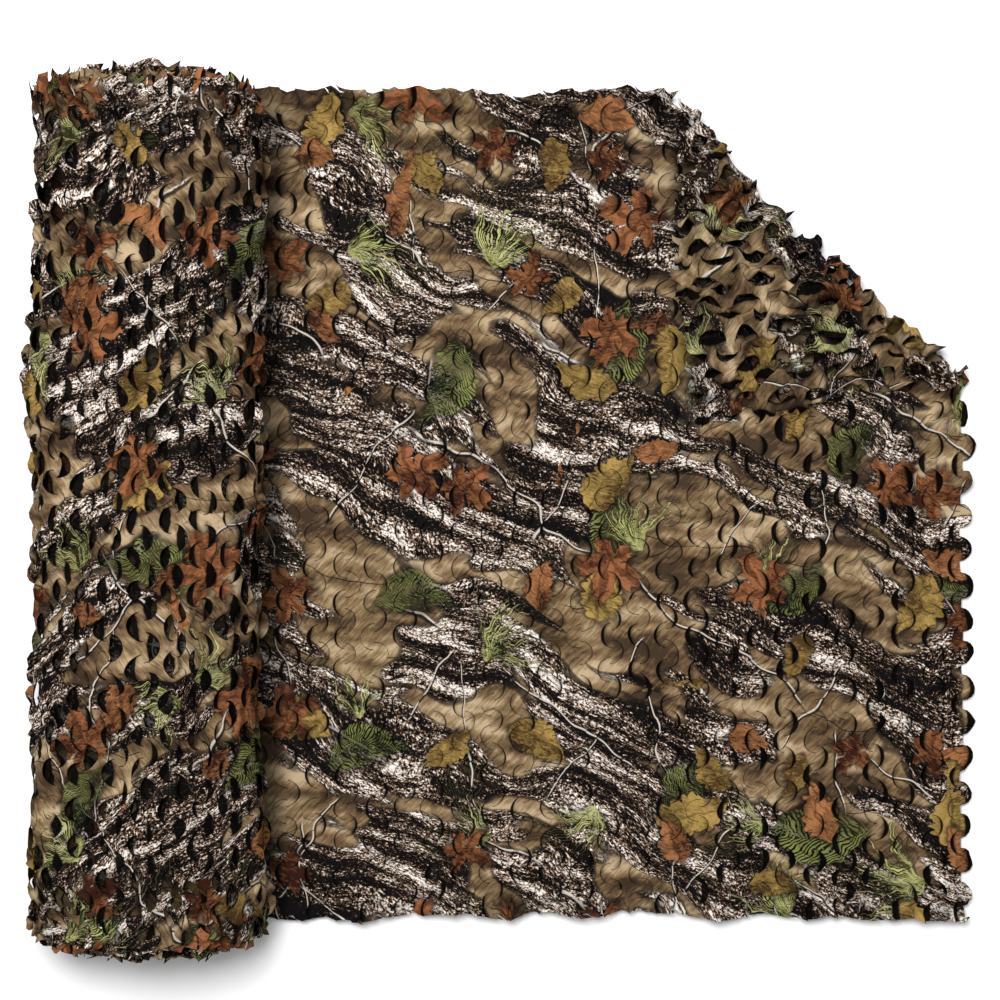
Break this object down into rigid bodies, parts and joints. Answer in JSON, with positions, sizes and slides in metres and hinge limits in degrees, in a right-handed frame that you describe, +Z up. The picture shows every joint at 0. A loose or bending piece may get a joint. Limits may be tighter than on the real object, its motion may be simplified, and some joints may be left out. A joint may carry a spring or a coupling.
{
  "type": "camouflage net",
  "caption": "Roll of die-cut camouflage net, slumped on its side, with its loose end laid flat beside it and one corner folded over.",
  "frame": {"origin": "centre of the bounding box on the surface it lies on", "axes": "+Z up, +X from the roll along the loose end, +Y along the roll towards the folded corner's side"},
  "size_m": [1.6906, 1.5671, 0.2191],
  "materials": {
    "net_cloth": "matte printed polyester cloth, woodland print on both sides"
  },
  "bodies": {
    "root": {"net_roll": "net_cloth", "net_sheet": "net_cloth"}
  },
  "joints": []
}
